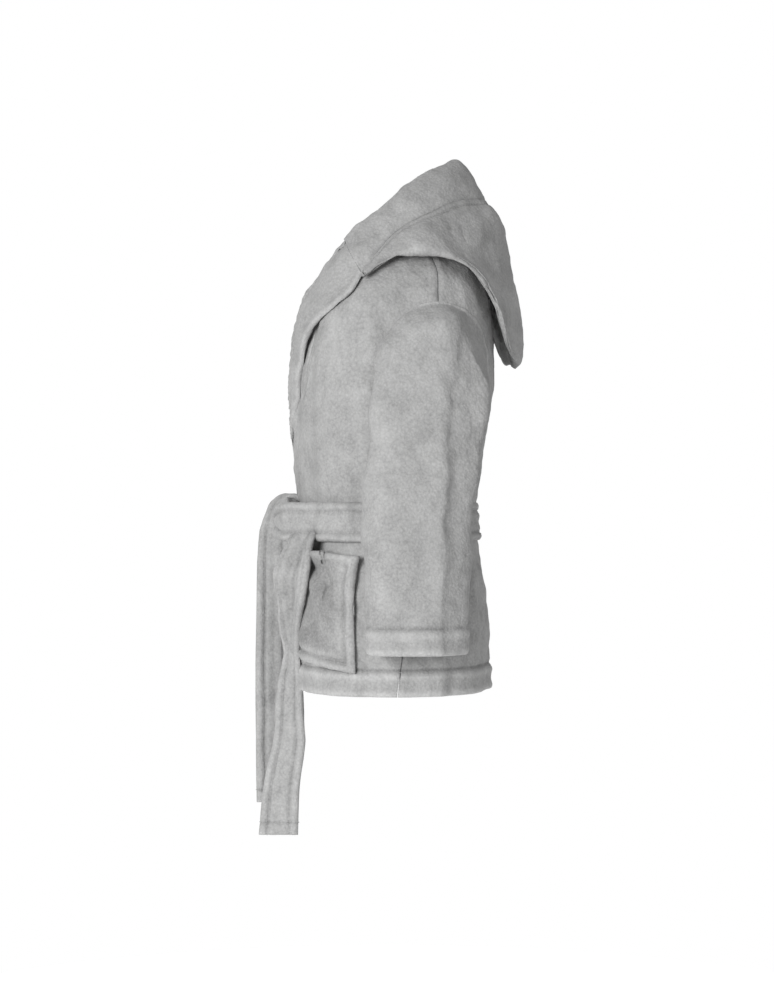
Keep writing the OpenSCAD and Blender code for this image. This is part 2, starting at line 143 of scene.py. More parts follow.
def brushed_pile_group():
    """Short brushed pile: soft blotches where the nap leans, fine tufts, and painted shade and painted
    highlight from a per-point mark, darker in grooves and creases and lighter on ridges.
    """
    tree = bpy.data.node_groups.new("brushed_pile", "ShaderNodeTree")
    group_input(tree, "Light", "NodeSocketColor", (0.5, 0.5, 0.5, 1))
    group_input(tree, "Dark", "NodeSocketColor", (0.4, 0.4, 0.4, 1))
    group_input(tree, "Patch Size", "NodeSocketFloat", 40.0)
    group_input(tree, "Tuft Size", "NodeSocketFloat", 600.0)
    group_output(tree, "Color", "NodeSocketColor")
    group_output(tree, "Roughness", "NodeSocketFloat")
    group_output(tree, "Height", "NodeSocketFloat")
    enter = tree.nodes.new("NodeGroupInput")
    leave = tree.nodes.new("NodeGroupOutput")
    link = tree.links.new
    where = tree.nodes.new("ShaderNodeTexCoord")
    # Per-point mark of painted shade (positive) and painted highlight (negative), set on each cloth mesh.
    shading_mark = tree.nodes.new("ShaderNodeAttribute")
    shading_mark.attribute_name = "painted_shading"

    patch = node(tree, "ShaderNodeTexNoise", Detail=3.0, Roughness=0.55, Distortion=0.4)
    link(where.outputs["Object"], patch.inputs["Vector"])
    link(enter.outputs["Patch Size"], patch.inputs["Scale"])
    tuft = node(tree, "ShaderNodeTexNoise", Detail=4.0, Roughness=0.7)
    link(where.outputs["Object"], tuft.inputs["Vector"])
    link(enter.outputs["Tuft Size"], tuft.inputs["Scale"])
    clump = node(tree, "ShaderNodeTexVoronoi", Randomness=1.0)
    clump.feature = "SMOOTH_F1"
    clump.inputs["Smoothness"].default_value = 0.6
    half = tree.nodes.new("ShaderNodeMath")
    half.operation = "MULTIPLY"
    half.inputs[1].default_value = 0.62
    link(enter.outputs["Tuft Size"], half.inputs[0])
    link(half.outputs[0], clump.inputs["Scale"])
    link(where.outputs["Object"], clump.inputs["Vector"])

    def maths(kind, a, b):
        made = tree.nodes.new("ShaderNodeMath")
        made.operation = kind
        for socket, value in zip(made.inputs, (a, b)):
            if isinstance(value, (int, float)):
                socket.default_value = value
            else:
                link(value, socket)
        return made.outputs[0]

    blotch = maths("MULTIPLY", maths("SUBTRACT", patch.outputs["Fac"], 0.5), 1.1)
    grain = maths("MULTIPLY", maths("SUBTRACT", tuft.outputs["Fac"], 0.5), 1.15)
    pit = maths("MULTIPLY", maths("SUBTRACT", clump.outputs["Distance"], 0.45), -0.5)
    tone = maths("ADD", maths("ADD", blotch, grain), maths("ADD", pit, 0.62))
    # Painted shade and painted highlight: the mark is taken off the tone, darkening grooves and creases
    # and lightening ridges.
    tone = maths("SUBTRACT", tone, shading_mark.outputs["Fac"])
    fade = tree.nodes.new("ShaderNodeMix")
    fade.data_type = "RGBA"
    fade.clamp_factor = False
    link(tone, fade.inputs[0])
    link(enter.outputs["Dark"], fade.inputs[6])
    link(enter.outputs["Light"], fade.inputs[7])
    link(fade.outputs[2], leave.inputs["Color"])
    link(maths("ADD", maths("MULTIPLY", tuft.outputs["Fac"], 0.12), 0.84), leave.inputs["Roughness"])
    dimple = maths("MULTIPLY", clump.outputs["Distance"], -0.5)
    height = maths("ADD", maths("MULTIPLY", tuft.outputs["Fac"], 0.6), dimple)
    link(maths("ADD", height, maths("MULTIPLY", patch.outputs["Fac"], 0.8)), leave.inputs["Height"])
    return tree


PILE = brushed_pile_group()


def plush(name, light, dark, tuft=600.0, depth=0.0006):
    paint = bpy.data.materials.new(name)
    paint.use_nodes = True
    tree = paint.node_tree
    shader = tree.nodes["Principled BSDF"]
    shader.inputs["Sheen Weight"].default_value = 0.12
    shader.inputs["Sheen Roughness"].default_value = 0.45
    shader.inputs["Specular IOR Level"].default_value = 0.12
    pile = tree.nodes.new("ShaderNodeGroup")
    pile.node_tree = PILE
    pile.inputs["Light"].default_value = (*light, 1)
    pile.inputs["Dark"].default_value = (*dark, 1)
    pile.inputs["Tuft Size"].default_value = tuft
    bump = tree.nodes.new("ShaderNodeBump")
    bump.inputs["Strength"].default_value = 0.8
    bump.inputs["Distance"].default_value = depth
    tree.links.new(pile.outputs["Color"], shader.inputs["Base Color"])
    tree.links.new(pile.outputs["Roughness"], shader.inputs["Roughness"])
    tree.links.new(pile.outputs["Height"], bump.inputs["Height"])
    tree.links.new(bump.outputs["Normal"], shader.inputs["Normal"])
    return paint


GREY_PLUSH = plush("grey_plush", (0.395, 0.395, 0.393), (0.215, 0.215, 0.214), 620.0, 0.0009)
SEWING_THREAD = plush("sewing_thread", (0.36, 0.36, 0.36), (0.26, 0.26, 0.26), 1500.0, 0.0001)
WOVEN_TAPE = plush("woven_tape", (0.36, 0.36, 0.36), (0.30, 0.30, 0.30), 1400.0, 0.0002)
BLANK_LABEL = plush("blank_label", (0.86, 0.86, 0.85), (0.80, 0.80, 0.79), 1600.0, 0.0001)


# ---------------------------------------------------------------- curves, in millimetres

def soft(t):
    u = np.clip(t, 0, 1)
    return u * u * (3 - 2 * u)


def bell(x, middle, width):
    return np.exp(-((x - middle) / width) ** 2)


def mix(a, b, t):
    return a + (b - a) * t


def curve(rows, x):
    """A smooth curve through a table's rows at x, which the table's first column gives."""
    rows = np.asarray(rows, float)
    x = np.asarray(x, float)
    known, values = rows[:, 0], rows[:, 1:]
    before = np.maximum(np.arange(len(rows)) - 1, 0)
    after = np.minimum(np.arange(len(rows)) + 1, len(rows) - 1)
    slope = (values[after] - values[before]) / (known[after] - known[before])[:, None]
    i = np.clip(np.searchsorted(known, x, side="right") - 1, 0, len(rows) - 2)
    h = known[i + 1] - known[i]
    t = np.clip((x - known[i]) / h, 0, 1)[..., None]
    h = h[..., None]
    return (values[i] * (1 + 2 * t) * (1 - t) ** 2 + slope[i] * h * t * (1 - t) ** 2
            + values[i + 1] * t * t * (3 - 2 * t) + slope[i + 1] * h * t * t * (t - 1))


def thread(points, t):
    return curve([[i, *p] for i, p in enumerate(points)], t)


def ripple(points, size, seed, waves=16):
    """Even, repeatable unevenness of about the given size, about one high."""
    rng = np.random.default_rng(seed)
    way = rng.normal(size=(waves, 3))
    way /= np.linalg.norm(way, axis=1)[:, None]
    way *= 2 * np.pi / size * rng.uniform(0.7, 1.45, (waves, 1))
    start = rng.uniform(0, 2 * np.pi, waves)
    total = np.zeros(points.shape[:-1])
    for k in range(waves):
        total += np.cos(points @ way[k] + start[k])
    return total * math.sqrt(2 / waves)


def power(x, e):
    return np.sign(x) * np.abs(x) ** e


def steps(length, step, edge=2.0):
    """Places from 0 to 1 along a length, closer together by the two rounded edges."""
    inner = np.linspace(edge, length - edge, max(int(round((length - 2 * edge) / step)), 2) + 1)
    rim = np.array([0, 0.12, 0.4]) * edge
    return np.concatenate([rim, inner, (length - rim)[::-1]]) / length


# ---------------------------------------------------------------- measures from the frame

def span(name):
    low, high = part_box(name)
    return np.array(low) * 1000, np.array(high) * 1000


BACK_LOW, BACK_HIGH = span("back_panel")
BELT_LOW, BELT_HIGH = span("belt_band")
CUFF_LOW = span("sleeve_left")[0]
NEAR_LOW = span("belt_tail_left")[0]
FAR_LOW = span("belt_tail_right")[0]

HEM = BACK_LOW[2]
WAIST = (BELT_LOW[2] + BELT_HIGH[2]) / 2
BELT_WIDE = BELT_HIGH[2] - BELT_LOW[2]
CUFF = CUFF_LOW[2]
CLOTH = 4.0
BAND = 6.0
BAND_WIDE = 38.0
HEM_DEEP = 24.0
HOOD_TOPSTITCH = 6.2
POCKET_TOPSTITCH = 9.5
BELT_TOPSTITCH = 8.3
TAIL_HEM = 12.0
POCKET_HIGH = 106.0
ARM_Y, ARM_Z, ARM_WIDE, ARM_HIGH = 43.0, -118.0, 44.0, 53.0

# Height, half width, front depth, back depth and squareness of each level.
PROFILE = [[HEM, BACK_HIGH[0], 88, 92, 2.4], [-340, 125, 86, 90, 2.4], [WAIST, 114, 82, 77, 2.3],
           [-207, 119, 87, 84, 2.5], [-154, 127, 86, 93, 2.8], [-118, 128, 83, 96, 3],
           [-68, 127, 74, 94, 3], [-35, 113, 60, 88, 2.8], [-12, 86, 40, 78, 2.5], [0, 60, 20, 64, 2.2]]
SIDE_SEAM = [[HEM, 5], [WAIST, 26], [ARM_Z - ARM_HIGH, ARM_Y]]
SHOULDER_SEAM = [[ARM_Z + ARM_HIGH, ARM_Y], [-35, 41], [0, 30]]
FRONT_EDGE = [[HEM, -89], [WAIST, -85], [-194, -74], [-147, -66], [-110, -60], [-68, -53], [-35, -44],
              [-12, -24], [0, 4]]

FOLDS = [(9, 0.9, 0.4, 0.006), (14, 0.8, 2.1, -0.009), (19, 0.7, 4.4, 0.012), (26, 0.5, 1.2, -0.015),
         (33, 0.35, 5.1, 0.02)]


def cloth_folds(angle, z):
    """Soft upright folds: gathered by the belt, swinging out at the hem, smooth at the chest."""
    a = np.radians(angle)
    total = 0
    for count, size, start, lean in FOLDS:
        total = total + size * np.cos(count * a + start + lean * z + 0.6 * np.sin(z / 60 + count))
    below = soft((WAIST - z) / 60)
    gather = np.exp(-np.abs(z - WAIST) / 42)
    return total * (0.35 + 0.9 * gather + 0.35 * below) * soft((-z) / 60)


def body(angle, z, off=0.0, true_angle=None):
    """Point on the body's cloth; angle 0 is the wearer's left, 90 the back and -90 the front."""
    row = curve(PROFILE, z)
    e = 2 / row[..., 3]
    a = np.radians(angle)
    deep = np.where(np.sin(a) < 0, row[..., 1], row[..., 2])
    off = off + cloth_folds(angle if true_angle is None else true_angle, z)
    return np.stack([(row[..., 0] + off) * power(np.cos(a), e), (deep + off) * power(np.sin(a), e),
                     z + 0 * a], -1)


def angle_at_y(y, z):
    row = curve(PROFILE, z)
    share = np.clip(np.abs(y) / np.where(np.asarray(y) < 0, row[..., 1], row[..., 2]), 0, 1)
    return np.sign(y) * np.degrees(np.arcsin(share ** (row[..., 3] / 2)))


def angle_at_x(x, z):
    row = curve(PROFILE, z)
    a = np.degrees(np.arccos(np.clip(np.abs(x) / row[..., 0], 0, 1) ** (row[..., 3] / 2)))
    return np.where(np.asarray(x) < 0, a - 180, -a)


def front_edge(z):
    return curve(FRONT_EDGE, z)[..., 0]


# ---------------------------------------------------------------- cloth meshes

def facing(grid, ring=False):
    """Outward direction at each point of a grid of cloth."""
    if ring:
        across = np.roll(grid, -1, 1) - np.roll(grid, 1, 1)
    else:
        across = np.gradient(grid, axis=1)
    along = np.gradient(grid, axis=0)
    way = np.cross(across, along)
    return way / np.maximum(np.linalg.norm(way, axis=-1, keepdims=True), 1e-9)


def run(grid, axis):
    """Distance run from the first row or column, along the cloth."""
    gone = np.linalg.norm(np.diff(grid, axis=axis), axis=-1)
    zero = np.zeros_like(np.take(gone, [0], axis))
    return np.cumsum(np.concatenate([zero, gone], axis), axis)


def pile(points, seed=1):
    return (0.09 * ripple(points, 6, seed) + 0.22 * ripple(points, 15, seed + 1)
            + 0.6 * ripple(points, 42, seed + 2))


def make_mesh(name, points, faces, finish, painted_shading=None):
    mesh = bpy.data.meshes.new(name)
    mesh.from_pydata((points * 0.001).tolist(), [], faces)
    mesh.shade_smooth()
    # Stores the per-point painted shade and painted highlight mark that the pile shader reads.
    if painted_shading is not None:
        mark = mesh.attributes.new("painted_shading", "FLOAT", "POINT")
        mark.data.foreach_set("value", painted_shading.astype(np.float32))
    mesh.materials.append(finish)
    made = bpy.data.objects.new(name + "_cloth", mesh)
    bpy.context.scene.collection.objects.link(made)
    return made


def cloth(name, grid, thick=CLOTH, relief=0.0, painted_shading=0.0, ring=False, finish=None, fuzz=1.0, joined=(),
          under=0.0, under_painted_shading=0.0):
    """Cloth of real thickness under a grid, with brushed pile and rounded rims but for joined ones."""
    grid = np.asarray(grid, float)
    count, wide = grid.shape[:2]
    out = facing(grid, ring)
    length = run(grid, 0)
    rims = {"first": length, "last": length[-1:] - length}
    if not ring:
        width = run(grid, 1)
        rims.update(start=width, end=width[:, -1:] - width)
    rim = np.min([rims[k] for k in rims if k not in joined], axis=0)
    zero = np.zeros((count, wide))
    half = np.asarray(thick) / 2 + zero
    near = np.clip(rim, 0, half)
    inset = 0.86 * (half - np.sqrt(np.maximum(half ** 2 - (half - near) ** 2, 0)))
    nap = pile(grid) * fuzz
    top = grid + out * (relief + nap - inset)[..., None]
    low = grid - out * (2 * half - inset + 0.5 * nap + under)[..., None]
    SURFACE[name] = top
    points = np.concatenate([top.reshape(-1, 3), low.reshape(-1, 3)])
    at = np.arange(count * wide).reshape(count, wide)
    if ring:
        at = np.concatenate([at, at[:, :1]], 1)
    a, b, c, d = at[:-1, :-1], at[:-1, 1:], at[1:, 1:], at[1:, :-1]
    far = count * wide

    def strip(*corners):
        return np.stack([x.ravel() for x in corners], -1)

    faces = [strip(a, b, c, d), strip(a + far, d + far, c + far, b + far),
             strip(at[0, 1:], at[0, :-1], at[0, :-1] + far, at[0, 1:] + far),
             strip(at[-1, :-1], at[-1, 1:], at[-1, 1:] + far, at[-1, :-1] + far)]
    if not ring:
        faces += [strip(at[:-1, 0], at[1:, 0], at[1:, 0] + far, at[:-1, 0] + far),
                  strip(at[1:, -1], at[:-1, -1], at[:-1, -1] + far, at[1:, -1] + far)]
    # Painted shade and painted highlight for the outer face and for the inner face.
    mark = np.concatenate([(painted_shading + zero).ravel(), (under_painted_shading + zero).ravel()])
    made = make_mesh(name, points, np.concatenate(faces).tolist(), finish or GREY_PLUSH, mark)
    corner = grid[:-1, :-1]
    patches = np.cross(grid[:-1, 1:] - corner, grid[1:, :-1] - corner)
    made["area"] = float(np.linalg.norm(patches, axis=-1).sum() * 1e-6)
    return made


def mirrored(grid):
    """The same cloth on the other side of the body, its outer face still outwards."""
    return (grid * np.array([-1, 1, 1]))[:, ::-1]


def for_side(grid, side):
    return grid if side == LEFT else mirrored(grid)


def flipped(values, side):
    """Relief that goes with a mirrored grid."""
    return values if side == LEFT or np.ndim(values) < 2 else values[:, ::-1]


def settle(piece, home, *stands_for, slot="plush", flat=(0.3, 0.4), held="hung", sewn=()):
    """Hides the solids a piece of cloth stands for, hangs the piece on its body when the body is a name,
    and sews its lines of stitching; its finish slot, cut size and hold are not used.
    """
    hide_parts(*stands_for)
    move_with(piece, home)
    lines = [line_on(stands_for[0], *place) for place in sewn]
    if lines:
        move_with(stitches(stands_for[0], lines), home)


def move_with(piece, home):
    if isinstance(home, str):
        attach(piece, home)
    else:
        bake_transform(piece)


def cut_size(piece, length):
    """Flat width and length of a piece from its area, for a piece about that long."""
    return (max(piece["area"] / length, 0.0101), length)


# ---------------------------------------------------------------- lines of stitching

SURFACE = {}
STITCH = {"Pitch": 0.004, "Length": 0.0029, "Thickness": 0.0008}
STITCH_SEED = 7


def line_on(name, axis, distance, from_end):
    """A line on a finished piece's outer face, at an even distance from one of its edges."""
    top = SURFACE[name] if axis == 1 else SURFACE[name].transpose(1, 0, 2)
    if from_end:
        top = top[:, ::-1]
    gone = run(top, 1)
    return np.array([[np.interp(distance, g, t[:, k]) for k in range(3)] for g, t in zip(gone, top)])


def stitch_tree():
    """Small rounded stitches at an even pitch along drawn lines."""
    tree = bpy.data.node_groups.new("sewn_stitches", "GeometryNodeTree")
    tree.interface.new_socket(name="Geometry", in_out="INPUT", socket_type="NodeSocketGeometry")
    for name, value in STITCH.items():
        group_input(tree, name, "NodeSocketFloat", value)
    group_input(tree, "Seed", "NodeSocketInt", STITCH_SEED)
    tree.interface.new_socket(name="Thread", in_out="INPUT", socket_type="NodeSocketMaterial")
    group_output(tree, "Geometry", "NodeSocketGeometry")
    enter = tree.nodes.new("NodeGroupInput")
    leave = tree.nodes.new("NodeGroupOutput")
    link = tree.links.new
    line = tree.nodes.new("GeometryNodeMeshToCurve")
    even = tree.nodes.new("GeometryNodeResampleCurve")
    even.mode = "LENGTH"
    shape = node(tree, "GeometryNodeMeshUVSphere", Segments=6, Rings=4, Radius=0.5)
    size = tree.nodes.new("ShaderNodeCombineXYZ")
    spread = tree.nodes.new("GeometryNodeInstanceOnPoints")
    along = tree.nodes.new("GeometryNodeInputTangent")
    turn = tree.nodes.new("FunctionNodeAlignRotationToVector")
    turn.axis = "Z"
    vary = tree.nodes.new("FunctionNodeRandomValue")
    vary.data_type = "FLOAT"
    vary.inputs[2].default_value = 0.85
    vary.inputs[3].default_value = 1.1
    stretch = tree.nodes.new("ShaderNodeVectorMath")
    stretch.operation = "SCALE"
    real = tree.nodes.new("GeometryNodeRealizeInstances")
    paint = tree.nodes.new("GeometryNodeSetMaterial")
    link(enter.outputs["Geometry"], line.inputs[0])
    link(line.outputs[0], even.inputs["Curve"])
    link(enter.outputs["Pitch"], even.inputs["Length"])
    link(even.outputs[0], spread.inputs["Points"])
    link(shape.outputs["Mesh"], spread.inputs["Instance"])
    link(enter.outputs["Thickness"], size.inputs[0])
    link(enter.outputs["Thickness"], size.inputs[1])
    link(enter.outputs["Length"], size.inputs[2])
    link(size.outputs[0], stretch.inputs[0])
    link(enter.outputs["Seed"], vary.inputs["Seed"])
    link(vary.outputs[1], stretch.inputs["Scale"])
    link(stretch.outputs[0], spread.inputs["Scale"])
    link(along.outputs[0], turn.inputs["Vector"])
    link(turn.outputs[0], spread.inputs["Rotation"])
    link(spread.outputs[0], real.inputs[0])
    link(real.outputs[0], paint.inputs["Geometry"])
    link(enter.outputs["Thread"], paint.inputs["Material"])
    link(paint.outputs[0], leave.inputs["Geometry"])
    return tree


STITCHES = stitch_tree()


def stitches(name, lines):
    """Sews a piece along its lines and returns the row of stitches as a piece of its own."""
    points = np.concatenate(lines) * 0.001
    edges = []
    first = 0
    for line in lines:
        edges += [(first + i, first + i + 1) for i in range(len(line) - 1)]
        first += len(line)
    drawn = bpy.data.meshes.new("drawn")
    drawn.from_pydata(points.tolist(), edges, [])
    guide = bpy.data.objects.new("drawn", drawn)
    bpy.context.scene.collection.objects.link(guide)
    sewing = guide.modifiers.new("sewing", "NODES")
    sewing.node_group = STITCHES
    values = {**STITCH, "Seed": STITCH_SEED, "Thread": SEWING_THREAD}
    for item in STITCHES.interface.items_tree:
        if item.item_type == "SOCKET" and item.in_out == "INPUT" and item.name in values:
            sewing[item.identifier] = values[item.name]
    ready = guide.evaluated_get(bpy.context.evaluated_depsgraph_get())
    mesh = bpy.data.meshes.new_from_object(ready)
    made = bpy.data.objects.new(name + "_stitches", mesh)
    bpy.context.scene.collection.objects.link(made)
    bpy.data.objects.remove(guide)
    bpy.data.meshes.remove(drawn)
    return made


# ---------------------------------------------------------------- body panels

def body_levels(step):
    """Heights of a body panel's rows, where its side seam runs and how far the armhole cuts in."""
    low = HEM + (ARM_Z - ARM_HIGH - HEM) * np.concatenate(
        [[0, 0.001, 0.0033], np.linspace(0.008, 1, int(247 / step))])
    turn = np.radians(np.linspace(0, 180, int(105 * 1.4 / step)))[1:-1]
    high = np.linspace(ARM_Z + ARM_HIGH, 0, int(110 / step))
    z = np.concatenate([low, ARM_Z - ARM_HIGH * np.cos(turn), high])
    side, shoulder = curve(SIDE_SEAM, low)[:, 0], curve(SHOULDER_SEAM, high)[:, 0]
    seam = np.concatenate([side, ARM_Y + 0 * turn, shoulder])
    cut = np.concatenate([0 * low, ARM_WIDE * np.sin(turn), 0 * high])
    return z, seam, cut


def panel_grid(z, first, last, places, side=LEFT):
    """Cloth between two angles at each level, its columns evenly spaced along the cloth."""
    fine = mix(first[:, None], last[:, None], np.linspace(0, 1, 220)[None])
    gone = run(body(fine, z[:, None] + 0 * fine), 1)
    angle = np.stack([np.interp(places * g[-1], g, f) for g, f in zip(gone, fine)])
    true = angle if side == LEFT else 180 - angle
    return body(angle, z[:, None] + 0 * angle, 0, true), angle


def hem_relief(up):
    """Two layers up to the stitch line, which is drawn in, and a full roll at the lower edge."""
    return (0.9 * soft((HEM_DEEP + 1 - up) / 3) - 1.3 * bell(up, HEM_DEEP, 1.8)
            + 1.2 * bell(up, 18.5, 3.4) + 0.9 * bell(up, 4, 3.4))


# Painted shade in the hem's stitch groove and painted highlight on its two rolls.
def hem_painted_shading(up):
    return 0.45 * bell(up, HEM_DEEP, 1.3) - 0.4 * bell(up, 2, 3) - 0.4 * bell(up, 18, 3)


def seam_relief(gone):
    """Cloth drawn in along a seam and standing proud just beside it."""
    return -0.55 * np.exp(-gone / 1.4) + 0.5 * bell(gone, 4.5, 2.6)


def make_back_panel():
    z, seam, cut = body_levels(2.0)
    side = angle_at_y(seam + cut + 0.3, z)
    grid, _ = panel_grid(z, side, 180 - side, steps(340, 2.0))
    up = z[:, None] - HEM
    gone = run(grid, 1)
    near = np.minimum(gone, gone[:, -1:] - gone)
    # Painted shade along the hem stitch line and in the side seams.
    painted_shading = hem_painted_shading(up) + 0.3 * np.exp(-near / 1.2)
    piece = cloth("back_panel", grid, relief=hem_relief(up) + seam_relief(near), painted_shading=painted_shading,
                  joined=("start", "end"))
    settle(piece, "robe", "back_panel", flat=cut_size(piece, 0.42), sewn=[(0, HEM_DEEP, False)])


def tuck_behind(grid):
    """The right front lies behind the left one."""
    grid = grid.copy()
    grid[..., 1] += np.where(grid[..., 1] < 0, 17 * soft((75 + grid[..., 0]) / 50), 0)
    return grid


def make_front(side, name):
    z, seam, cut = body_levels(2.0)
    grid, _ = panel_grid(z, front_edge(z), angle_at_y(seam - cut - 0.3, z), steps(190, 2.0), side)
    gone = run(grid, 1)
    near = np.minimum(gone, gone[:, -1:] - gone)
    up = z[:, None] - HEM
    relief = hem_relief(up) + seam_relief(near) + 0.6 * bell(gone, 9, 2.0) - 0.5 * bell(gone, 6.4, 1.0)
    # Painted shade along the hem, the side seams and the front stitch line.
    painted_shading = hem_painted_shading(up) + 0.3 * np.exp(-near / 1.2) + 0.2 * bell(gone, 6.4, 1.0)
    grid = for_side(grid, side)
    if side == RIGHT:
        grid = tuck_behind(grid)
    piece = cloth(name, grid, relief=flipped(relief, side), painted_shading=flipped(painted_shading, side),
                  joined=("start", "end"))
    settle(piece, "robe", name, flat=cut_size(piece, 0.42), sewn=[(0, HEM_DEEP, False)])


# ---------------------------------------------------------------- sleeves

SLEEVE_ROUND = [(-1.0, 0.45), (-0.93, 0.74), (-0.72, 0.95), (-0.3, 1.02), (0.1, 1.0), (0.42, 0.97),
                (0.56, 0.86), (0.8, 0.66), (0.97, 0.42), (0.93, 0.16), (0.6, 0.0), (0.0, -0.03),
                (-0.6, 0.0), (-0.93, 0.16)]
SLEEVE_OUTER = [[121.5, 44, -62], [145, 45, -76], [174, 38, -196], [186, 24, CUFF]]
SLEEVE_INNER = [[127, 44, -171], [138, 40, -176], [138, 31, -261], [138, 24, CUFF]]
SLEEVE_FRONT = [[0, -2], [0.12, -9], [0.3, -17], [0.5, -22], [0.7, -24.5], [0.85, -23.5], [1, -21]]
SLEEVE_REAR = [[0, 85], [0.12, 87.5], [0.3, 85], [0.5, 79], [0.7, 74], [0.85, 70], [1, 67]]
SEAM_TUCK = 1.8


def bezier(p, t):
    p = np.asarray(p, float)
    t = t[..., None]
    return p[0] * (1 - t) ** 3 + 3 * p[1] * t * (1 - t) ** 2 + 3 * p[2] * t * t * (1 - t) + p[3] * t ** 3


def sleeve_grid(rows, sides):
    """Rings of the sleeve from under the edge of the armhole down to the cuff."""
    t = rows[:, None]
    around = len(SLEEVE_ROUND)
    loop = thread(np.array(SLEEVE_ROUND * 3), around + np.linspace(0, 1, sides, endpoint=False) * around)
    outer, inner = bezier(SLEEVE_OUTER, rows), bezier(SLEEVE_INNER, rows)
    front, rear = curve(SLEEVE_FRONT, rows)[:, 0], curve(SLEEVE_REAR, rows)[:, 0]
    tall = loop[None, :, 1]
    x = mix(inner[:, :1], outer[:, :1], tall)
    z = mix(inner[:, 2:], outer[:, 2:], tall)
    y = mix(front[:, None], rear[:, None], (loop[None, :, 0] + 1) / 2)
    tube = np.stack([x, y, z], -1)
    turn = np.arctan2(loop[:, 1] - 0.5, loop[:, 0])
    hole_y = ARM_Y + (ARM_WIDE + SEAM_TUCK) * np.cos(turn)
    hole_z = ARM_Z + (ARM_HIGH + SEAM_TUCK) * np.sin(turn)
    hole_x = body(angle_at_y(hole_y, hole_z), hole_z)[:, 0]
    hole = np.stack([hole_x - 3.2, hole_y, hole_z], -1)[None]
    return mix(hole, tube, soft(t / 0.2)[..., None])


def make_sleeve(side, name):
    rows = np.concatenate([[0, 0.002, 0.005], np.linspace(0.01, 0.12, 24),
                           np.linspace(0.128, 0.985, 118), [0.989, 0.9935, 0.998, 1]])
    grid = sleeve_grid(rows, 132)
    gone = run(grid, 0)
    up = gone[-1:] - gone
    y, z = grid[..., 1], grid[..., 2]
    outer = soft((grid[..., 0] - 145) / 12) * soft((z + 345) / 60) * soft((-85 - z) / 50)
    crease = (0.8 * bell(y, 44, 7) - 1.8 * bell(y, 56, 8)) * outer
    across = 1.5 * ripple(grid * np.array([0.4, 0.8, 1.0]), 58, 71)
    across = across * soft((up - 25) / 40) * soft(gone / 40)
    relief = hem_relief(up) + 1.0 * bell(gone, 3.4, 2.6) - 0.5 * np.exp(-gone / 1.2) + crease + across
    # Painted shade along the hem and the armhole seam, painted highlight on the ridge beside the armhole
    # seam.
    painted_shading = hem_painted_shading(up) + 0.3 * np.exp(-gone / 1.4) - 0.6 * bell(gone, 3.8, 2.8)
    grid, relief, painted_shading = for_side(grid[:, ::-1], side), relief[:, ::-1], painted_shading[:, ::-1]
    piece = cloth(name, grid, relief=flipped(relief, side), painted_shading=flipped(painted_shading, side), ring=True,
                  joined=("first",))
    body_name = "left_sleeve" if side == LEFT else "right_sleeve"
    x = 0.14 * side
    settle(piece, ("robe", body_name, (x, 0.04, -0.118), (x, 0.04, -0.235)), name,
           flat=cut_size(piece, 0.29), sewn=[(0, HEM_DEEP, True)])


# ---------------------------------------------------------------- hood, worn down

HOOD_EDGE = [[0, 57, 75.5], [24, 56, 75], [45, 41, 65], [60, 20, 51],
             [70, 0, 35], [75, -20, 17], [77, -33, 6], [77, -43, -4]]
HOOD_SEAM = [[0, 90, 42], [28, 85, 40], [55, 65, 36], [76, 45, 27],
             [87, 25, 16], [93, 6, 4], [101, -9, -12], [118, -27, -38]]
HOOD_FOLD = [[0, 117, -113], [35, 114, -113], [68, 106, -104], [90, 95, -68],
             [104, 74, -36], [113, 42, -22], [115, 8, -24], [121, -26, -42]]
NECK_SEAM = [[0, 66, 6], [24, 63, 6], [43, 52, 6], [55, 38, 6],
             [61, 25, 4], [65, 9, 1], [71, -7, -2], [80, -24, -16]]
NAPE = ("robe", "hood", (0, 0.035, 0.0), (0, 0.08, 0.0))


def hood_across(s):
    """Nine points across the hood: from the neck over the back, round the fold and up to the band."""
    n, f, b = (thread(rows, s) for rows in (NECK_SEAM, HOOD_FOLD, HOOD_SEAM))
    back = soft(1 - s / 5)[:, None]

    def vary(front, rear):
        return mix(np.array(front, float), np.array(rear, float), back)

    over = mix(n, f, 0.5) + vary([0, 0, -3], [0, 12, 22])
    out = mix(f, b, 0.45) + vary([7, 2, 2], [2, 15, 3])
    low = f + vary([1, 0, 0], [0, 3, -1])
    return np.stack([n + [0, 0, CLOTH],
                     mix(n, over, 0.5) + vary([0, 1, 4], [0, 1, 7]),
                     over + [0, 1, CLOTH],
                     mix(over, f, 0.65) + vary([0, 2, 3], [0, -1, 0]),
                     low,
                     mix(low, out, 0.4) + vary([4, 1, 0], [1, 7, -2]),
                     out,
                     mix(out, b, 0.6) + vary([2, 1, 2], [1, 5, 3]),
                     b], 1)


def through(points, places):
    """A smooth line through each row's points, at places evenly spaced along it."""
    many = np.linspace(0, points.shape[1] - 1, 160)
    line = np.stack([thread(row, many) for row in points])
    gone = run(line, 1)
    rows = []
    for g, l in zip(gone, line):
        rows.append(np.stack([np.interp(places * g[-1], g, l[:, k]) for k in range(3)], -1))
    return np.stack(rows)


